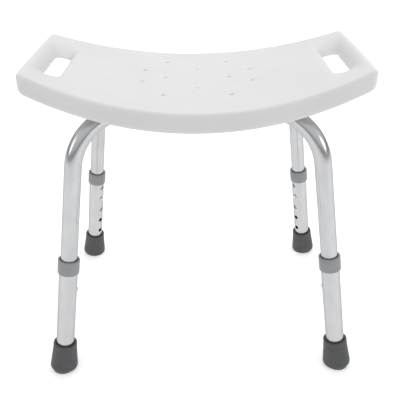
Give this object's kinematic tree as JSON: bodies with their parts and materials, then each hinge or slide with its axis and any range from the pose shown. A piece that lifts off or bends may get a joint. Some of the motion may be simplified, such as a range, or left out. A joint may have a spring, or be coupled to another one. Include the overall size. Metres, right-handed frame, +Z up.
{
  "type": "bath bench",
  "caption": "Backless bath bench with a dished plastic seat, hand-grip slots, crossing bent-tube frames and height-adjustable legs on rubber tips.",
  "frame": {"origin": "on the floor under the middle of the seat", "axes": "+X along the seat's long side to the viewer's right, +Y towards the back, +Z up"},
  "size_m": [0.5028, 0.3874, 0.4856],
  "materials": {
    "seat_plastic": "white blow-moulded polyethylene, satin",
    "anodised_tube": "satin clear-anodised tube",
    "collar_plastic": "grey moulded plastic",
    "tip_rubber": "dark grey moulded rubber",
    "button_steel": "nickel plated steel",
    "spring_steel": "bent strip",
    "fastener_steel": "stainless steel"
  },
  "bodies": {
    "bench": {"seat": "seat_plastic", "frame_tube_upper": "anodised_tube", "frame_tube_lower": "anodised_tube", "cross_bolt": "fastener_steel", "bolt_washer": "fastener_steel", "bolt_nut": "fastener_steel", "seat_screw_front_left": "fastener_steel", "screw_washer_front_left": "fastener_steel", "button_spring_front_left": "spring_steel", "seat_screw_front_right": "fastener_steel", "screw_washer_front_right": "fastener_steel", "button_spring_front_right": "spring_steel", "seat_screw_rear_left": "fastener_steel", "screw_washer_rear_left": "fastener_steel", "button_spring_rear_left": "spring_steel", "seat_screw_rear_right": "fastener_steel", "screw_washer_rear_right": "fastener_steel", "button_spring_rear_right": "spring_steel"},
    "leg_front_left": {"leg_extension_front_left": "anodised_tube", "collar_front_left": "collar_plastic", "rubber_tip_front_left": "tip_rubber", "tip_washer_front_left": "fastener_steel"},
    "button_front_left": {"snap_button_front_left": "button_steel"},
    "leg_front_right": {"leg_extension_front_right": "anodised_tube", "collar_front_right": "collar_plastic", "rubber_tip_front_right": "tip_rubber", "tip_washer_front_right": "fastener_steel"},
    "button_front_right": {"snap_button_front_right": "button_steel"},
    "leg_rear_left": {"leg_extension_rear_left": "anodised_tube", "collar_rear_left": "collar_plastic", "rubber_tip_rear_left": "tip_rubber", "tip_washer_rear_left": "fastener_steel"},
    "button_rear_left": {"snap_button_rear_left": "button_steel"},
    "leg_rear_right": {"leg_extension_rear_right": "anodised_tube", "collar_rear_right": "collar_plastic", "rubber_tip_rear_right": "tip_rubber", "tip_washer_rear_right": "fastener_steel"},
    "button_rear_right": {"snap_button_rear_right": "button_steel"}
  },
  "joints": [
    {"name": "leg_slide_front_left", "type": "slide", "parent": "bench", "child": "leg_front_left", "axis": [0.1363, 0.102, 0.9854], "range_m": [-0.027, 0.081], "deforming": ["snap_button_front_left", "button_spring_front_left"]},
    {"name": "button_press_front_left", "type": "slide", "parent": "bench", "child": "button_front_left", "axis": [-0.789, -0.5903, 0.1702], "range_m": [0, 0.0046], "stiffness_N_per_m": 3000, "deforming": ["button_spring_front_left"]},
    {"name": "leg_slide_front_right", "type": "slide", "parent": "bench", "child": "leg_front_right", "axis": [-0.1363, 0.102, 0.9854], "range_m": [-0.027, 0.081], "deforming": ["snap_button_front_right", "button_spring_front_right"]},
    {"name": "button_press_front_right", "type": "slide", "parent": "bench", "child": "button_front_right", "axis": [0.789, -0.5903, 0.1702], "range_m": [0, 0.0046], "stiffness_N_per_m": 3000, "deforming": ["button_spring_front_right"]},
    {"name": "leg_slide_rear_left", "type": "slide", "parent": "bench", "child": "leg_rear_left", "axis": [0.1363, -0.102, 0.9854], "range_m": [-0.027, 0.081], "deforming": ["snap_button_rear_left", "button_spring_rear_left"]},
    {"name": "button_press_rear_left", "type": "slide", "parent": "bench", "child": "button_rear_left", "axis": [-0.789, 0.5903, 0.1702], "range_m": [0, 0.0046], "stiffness_N_per_m": 3000, "deforming": ["button_spring_rear_left"]},
    {"name": "leg_slide_rear_right", "type": "slide", "parent": "bench", "child": "leg_rear_right", "axis": [-0.1363, -0.102, 0.9854], "range_m": [-0.027, 0.081], "deforming": ["snap_button_rear_right", "button_spring_rear_right"]},
    {"name": "button_press_rear_right", "type": "slide", "parent": "bench", "child": "button_rear_right", "axis": [0.789, 0.5903, 0.1702], "range_m": [0, 0.0046], "stiffness_N_per_m": 3000, "deforming": ["button_spring_rear_right"]}
  ]
}
